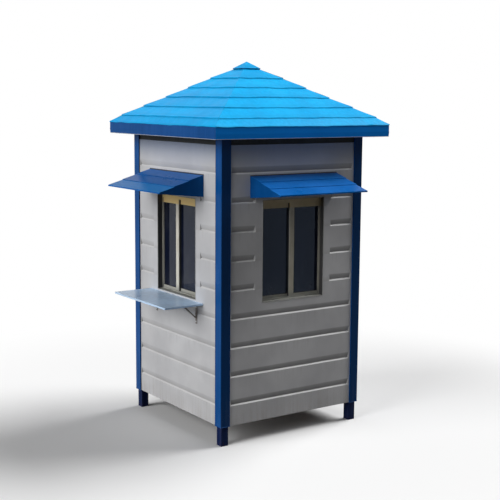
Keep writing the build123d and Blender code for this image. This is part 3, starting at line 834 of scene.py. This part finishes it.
# Door furniture: three lift-off hinge barrels of brushed steel, a lever handle on a rounded plate
# and a key cylinder under it.
brushed = Finish("brushed_stainless_steel", Metallic=1.0)
lines = brushed.blotches((0.06, 0.06, 0.0007), 2.0)
cloud = brushed.blotches((0.03, 0.03, 0.03), 3.0, 2.0)
brushed.coat(
    colour=brushed.tint(cloud, (0.50, 0.50, 0.505), (0.64, 0.64, 0.645)),
    roughness=0.24 + lines * 0.20 + cloud * 0.06,
    height=lines * 0.00002,
)
for node, name in (("door_hinges", "hinge_barrels"), ("door_handle", "lever_handle")):
    part = softened_copy(node, name, 0.0008, angle=50)
    fit(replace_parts(part, node), brushed, smooth=50)


# Rain hoods: blue steel sheets folded in three lapped panels, with a lip along the outer edge and
# a cheek at each end. A bead of dark sealant closes the joint with the wall above.
hood_enamel = painted_steel(
    "bright_blue_hood_enamel", (0.003, 0.125, 0.45), 0.30, shine=0.03, dent=0.0020, dust=0.03
)
_, backward, upward = hood_enamel.lie("True Normal")
# Painted shade: upright faces, the cheeks and the folds, are darkened, all but the lip.
upright = 1.0 - hood_enamel.rise(upward * upward, 0.02, 0.30)
out = hood_enamel.way_out()[0]
last_fold, lip_back = 1.020, 1.160
lip = hood_enamel.rise(out, lip_back, lip_back + 0.006)
shade = hood_enamel.shader.inputs["Base Color"].links[0].from_socket
shade = hood_enamel.tint(upright * (1.0 - lip) * 0.55, shade, (0.001, 0.018, 0.075))
# Painted glare: the outer panel on the front is a lighter blue.
outer_panel = hood_enamel.rise(out, last_fold, last_fold + 0.012) * (1.0 - upright)
outer_panel_glare = outer_panel * hood_enamel.rise(backward * -1.0, 0.15, 0.25)
shade = hood_enamel.tint(outer_panel_glare * 0.42, shade, (0.012, 0.31, 0.78))
hood_enamel.coat(colour=shade)
for side in GLAZED:
    hood = softened_copy(f"{side}_hood", f"{side}_folded_hood", 0.0011, angle=14)
    fit(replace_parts(hood, f"{side}_hood"), hood_enamel, smooth=25)
dark_sealant = Finish("dark_roof_sealant", Specular_IOR_Level=0.3)
tooled = dark_sealant.blotches((0.015, 0.015, 0.008), 3.0)
dark_sealant.coat(
    colour=dark_sealant.tint(tooled, (0.012, 0.016, 0.026), (0.035, 0.042, 0.058)),
    roughness=0.5 + tooled * 0.2,
    height=tooled * 0.0008,
)
bead = block("bead", (-0.460, -0.7513, 2.2972), (0.460, -0.7418, 2.3065))
choose(bead, "EDGE", lambda a, b: max(a.y, b.y) < -0.75 and min(a.z, b.z) > 2.306)
bpy.ops.mesh.bevel(offset=0.0085, segments=4, profile=0.35, affect="EDGES")
bpy.ops.object.mode_set(mode="OBJECT")
for side in GLAZED:
    fit(turned_copy(bead, f"{side}_hood_sealant", SIDES[side]), dark_sealant, smooth=60)
bpy.data.objects.remove(bead)


# Service shelf: a shallow tray of pale enamelled steel, carried by two brackets of flat bar that
# are bolted to the wall and screwed up into the tray.
# Painted sky reflection: the pale enamel is made bluer and its shine is tinted blue.
shelf_enamel = painted_steel(
    "pale_shelf_enamel", (0.56, 0.75, 0.98), 0.30, shine=0.55, dent=0.0010, dust=0.03
)
shelf_enamel.shader.inputs["Specular Tint"].default_value = (0.48, 0.68, 1.0, 1.0)
tray = softened_copy("shelf_board", "folded_shelf_tray", 0.0022, steps=3, angle=40)
fit(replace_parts(tray, "shelf_board"), shelf_enamel, smooth=40)
bracket_enamel = painted_steel(
    "weathered_bracket_enamel", (0.24, 0.215, 0.20), 0.45, shine=0.1, dust=0.5
)
bars = softened_copy("shelf_brackets", "flat_bar_brackets", 0.0008)
fit(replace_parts(bars, "shelf_brackets"), bracket_enamel, smooth=30)


def hex_bolt(radius):
    """A hexagon head on a round washer."""
    washer = fastener_head("washer", 16, radius * 1.6, 0.125, [])
    head = fastener_head("bolt", 6, radius, 0.8, [(0.16, 0.08)])
    head.data.transform(Matrix.Translation((0, 0, radius * 0.2)))
    return join_up("bolt", [washer, head])


down = (0, 0, -1)
bracket_face, arm_foot = 0.747, 1.188
bolts = []
for bracket in (-0.345, 0.345):
    for height in (1.022, 1.150):
        bolts.append(((bracket, bite - bracket_face, height), front))
    for reach in (0.80, 0.90):
        bolts.append(((bracket, -reach, arm_foot + bite), down))
fit(set_out("shelf_bolts", hex_bolt(0.0048), bolts), bright_steel)


# Soffit and fascia: a pale flat sheet under the whole roof, and round it a blue folded fascia with
# a crease below its middle, mitred at the corners, its bottom flange screwed up to the soffit.
soffit_coat = painted_steel("pale_soffit_enamel", (0.50, 0.53, 0.57), 0.45, dent=0.0016, dust=0.1)
dress(soffit_coat, "roof_base_panel")
# Painted light: the fascia's faces that look right or left are a lighter blue.
fascia_enamel = painted_steel(
    "deep_blue_fascia_enamel",
    (0.002, 0.075, 0.285),
    0.32,
    shine=0.04,
    dent=0.0024,
    dust=0.03,
    painted_side_shading=(0.007, 0.29, 0.98),
)


def mitre(piece, gap=0.0):
    """Cuts a length of the front side at 45 degrees at both ends, the gap short, and closes the cuts."""
    for across in (1, -1):
        choose(piece, "FACE", lambda centre, normal: True)
        bpy.ops.mesh.bisect(plane_co=(0, -gap, 0), plane_no=(across, 1, 0), use_fill=True, clear_outer=True)
    bpy.ops.object.mode_set(mode="OBJECT")


fascia_foot = 2.6135
bends = [
    (0, -0.0215, 0),
    (0, -0.0035, 0.0440),
    (0, 0.0015, 0.0035),
    (0, 0, 0.0560),
    (0, 0.026, 0),
]
band = bent_sheet("band", (-0.95, -0.8915, fascia_foot), (1.9, 0, 0), bends)
thicken(band, 0.0015)
round_edges(band, 0.0012, angle=40)
mitre(band, gap=0.0002)
folded_fascia = join_up("folded_fascia", all_round(band))
fit(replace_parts(folded_fascia, "eave_fascia"), fascia_enamel, smooth=30)
places = []
for across in (-0.75, -0.45, -0.15, 0.15, 0.45, 0.75):
    places.append(((across, -0.903, fascia_foot), down))
fit(set_out("soffit_screws", screw_head(0.004), on_each_side(places)), fascia_enamel)


# Roof: four slopes of azure coil-coated sheet, each pressed into lapped courses. The edge of every
# course stands out over the one below, not quite straight, and the hips are left without ridges.
azure = Finish("azure_coil_coat", Specular_IOR_Level=0.02)
course_run, course_rise, course_foot = 0.1492, 0.0846, 2.793
up = azure.split(azure.spot)[2]
cloud = azure.blotches((0.35, 0.35, 0.2), 4.0)
pan = azure.blotches((0.16, 0.16, 0.1), 2.0, 4.0)
runs = azure.blotches((0.03, 0.03, 0.3), 3.0, 7.0)
fine = azure.blotches((0.003, 0.003, 0.003), 1.0)
grit = azure.blotches((0.008, 0.008, 0.008), 3.0, 3.0)
course = (up - course_foot) % course_rise
mottle = azure.rise(cloud * 0.6 + runs * 0.4, 0.34, 0.66)
tone = azure.tint(mottle, (0.004, 0.405, 0.85), (0.009, 0.505, 0.975))
chalk = azure.rise(grit * 0.5 + cloud * 0.5, 0.54, 0.72)
tone = azure.tint(chalk * 0.03, tone, (0.30, 0.60, 0.85))
foot_of_course = 1.0 - azure.rise(course, 0.0, 0.03)
tone = azure.tint(foot_of_course * runs * 0.35, tone, (0.004, 0.20, 0.50))
_, backward, upward = azure.lie("True Normal")
# Painted shade: the slope that looks to the front is a deeper blue.
front_slope_shade = azure.rise(backward * -1.0, 0.2, 0.4)
tone = azure.tint(front_slope_shade * 0.16, tone, (0.004, 0.18, 0.55))
# Painted shade under the lips: faces that don't look up are darkened, deeper on the front slope.
recess_shade = (1.0 - azure.rise(upward, 0.10, 0.60)) * azure.rise(up, 2.735, 2.750)
shadow_line = azure.tint(front_slope_shade, (0.003, 0.10, 0.30), (0.001, 0.035, 0.13))
tone = azure.tint(recess_shade * 0.87, tone, shadow_line)
azure.coat(
    colour=tone,
    roughness=0.36 + (cloud - 0.5) * 0.2 + chalk * 0.15,
    height=pan * 0.0022 + fine * 0.00004,
)

eave_out, eave_height, top_out = 0.919, 2.722, 0.070
hem_back, hem_drop = 0.004, 0.008
first_lip_out, first_lip_foot = 0.836, 2.776
lip_height, lap, edge, edge_back = 0.011, 0.012, 0.007, 0.004
course_fall = (course_rise - lip_height) / course_run
bends = [(0, hem_back, hem_drop)]
out, height = eave_out - hem_back, eave_height
for number in range(5):
    lip_out = first_lip_out - number * course_run
    lip_foot = first_lip_foot + number * course_rise
    fall = (lip_foot - height) / (out - lip_out)
    bends.append((0, out - lip_out + lap, (out - lip_out + lap) * fall))
    recess_top = lip_foot + lip_height - edge + lap * course_fall
    bends.append((0, 0, recess_top - (lip_foot + lap * fall)))
    bends.append((0, -lap, -lap * course_fall))
    bends.append((0, edge_back, edge))
    out, height = lip_out - edge_back, lip_foot + lip_height
bends.append((0, out - top_out, (out - top_out) * course_fall))
slope = bent_sheet("slope", (-0.93, -eave_out, eave_height - hem_drop), (1.86, 0, 0), bends)
choose(slope, "EDGE", lambda a, b: abs(a.x - b.x) > 0.5)
bpy.ops.mesh.subdivide(number_cuts=61)
bpy.ops.object.mode_set(mode="OBJECT")
waves = bpy.data.textures.new("sheet_waves", "CLOUDS")
waves.noise_scale = 0.16
waves.noise_depth = 1
ripple = slope.modifiers.new("ripple", "DISPLACE")
ripple.texture = waves
ripple.texture_coords = "GLOBAL"
ripple.direction = "Z"
ripple.strength = 0.010
ripple.mid_level = 0.5
bpy.ops.object.modifier_apply(modifier=ripple.name)
thicken(slope, 0.0015, even=False)
mitre(slope)
for side, turn in SIDES.items():
    sheet = turned_copy(slope, f"{side}_stepped_slope", turn)
    fit(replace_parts(sheet, f"{side}_roof_slope"), azure, smooth=30)
bpy.data.objects.remove(slope)
cap = softened_copy("roof_cap", "pointed_roof_cap", 0.0012)
fit(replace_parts(cap, "roof_cap"), azure, smooth=25)


# The finished booth stands on a plain pale floor under soft lamps: one broad light from the front,
# one from above and behind, and an even white surround.
class Surround(Finish):
    """A floor or a sky: it looks white to the eye and in glass, and gives the booth little light."""

    def __init__(self, tree):
        self.tree = tree

    def looked_at(self):
        """1 where the eye, a reflection or a pane looks at it, and 0 where it lights the booth."""
        seen = self.add("ShaderNodeLightPath", give="Is Camera Ray")
        seen = seen.or_more(self.add("ShaderNodeLightPath", give="Is Glossy Ray"))
        return seen.or_more(self.add("ShaderNodeLightPath", give="Is Transmission Ray"))


world = bpy.data.worlds.new("white_surround")
world.use_nodes = True
bpy.context.scene.world = world
sky = Surround(world.node_tree)
background = world.node_tree.nodes["Background"]
sky_light = 0.09
sky.join(sky_light + sky.looked_at() * (1.0 - sky_light), background.inputs["Strength"])
background.inputs["Color"].default_value = (1, 1, 1, 1)

bpy.ops.object.select_all(action="DESELECT")
bpy.ops.mesh.primitive_circle_add(vertices=96, radius=40, fill_type="NGON", location=(0, 0, -0.0005))
floor = bpy.context.object
floor.name = "pale_floor"
paving = bpy.data.materials.new("pale_floor")
paving.use_nodes = True
ground = Surround(paving.node_tree)
principled = paving.node_tree.nodes["Principled BSDF"]
principled.inputs["Roughness"].default_value = 0.9
principled.inputs["Specular IOR Level"].default_value = 0.0
shade = ground.tint(ground.looked_at(), (0.045, 0.045, 0.045), (0.84, 0.84, 0.84))
ground.join(shade, principled.inputs["Base Color"])
white = ground.add("ShaderNodeEmission", None, {"Strength": 1.0})
far = ground.split(ground.add("ShaderNodeTexCoord", give="Object"))
far = ground.rise(far[0] * far[0] + far[1] * far[1], 4.0, 20.0) * ground.looked_at()
blend = ground.add("ShaderNodeMixShader", None, {0: far, 1: principled.outputs[0], 2: white})
ground.join(blend, paving.node_tree.nodes["Material Output"].inputs[0])
floor.data.materials.append(paving)

for name, direction, strength, spread in (
    ("front_light", (0.03, -1.0, 0.40), 0.78, 45),
    ("top_light", (0.075, 0.93, 1.0), 1.02, 35),
):
    bpy.ops.object.light_add(type="SUN", location=Vector(direction) * 4)
    lamp = bpy.context.object
    lamp.name = name
    lamp.data.energy = strength * math.pi
    lamp.data.angle = math.radians(spread)
    lamp.rotation_euler = Vector(direction).to_track_quat("Z", "Y").to_euler()

turn, tilt, roll = math.radians(55.53), math.radians(8.22), math.radians(0.42)
eye_place = (8.0287, -5.3331, 2.9524)
toward_eye = Vector((math.sin(turn) * math.cos(tilt), -math.cos(turn) * math.cos(tilt), math.sin(tilt)))
level = Vector((math.cos(turn), math.sin(turn), 0))
over = level.cross(-toward_eye)
side_axis = level * math.cos(roll) + over * math.sin(roll)
top_axis = over * math.cos(roll) - level * math.sin(roll)
axes = Matrix((side_axis, top_axis, toward_eye)).transposed().to_4x4()
eye = bpy.data.objects.new("eye", bpy.data.cameras.new("eye"))
bpy.context.collection.objects.link(eye)
eye.matrix_world = Matrix.Translation(eye_place) @ axes
eye.data.lens = 76.2
eye.data.sensor_width = 36.0
bpy.context.scene.camera = eye
bpy.context.scene.view_settings.view_transform = "Standard"
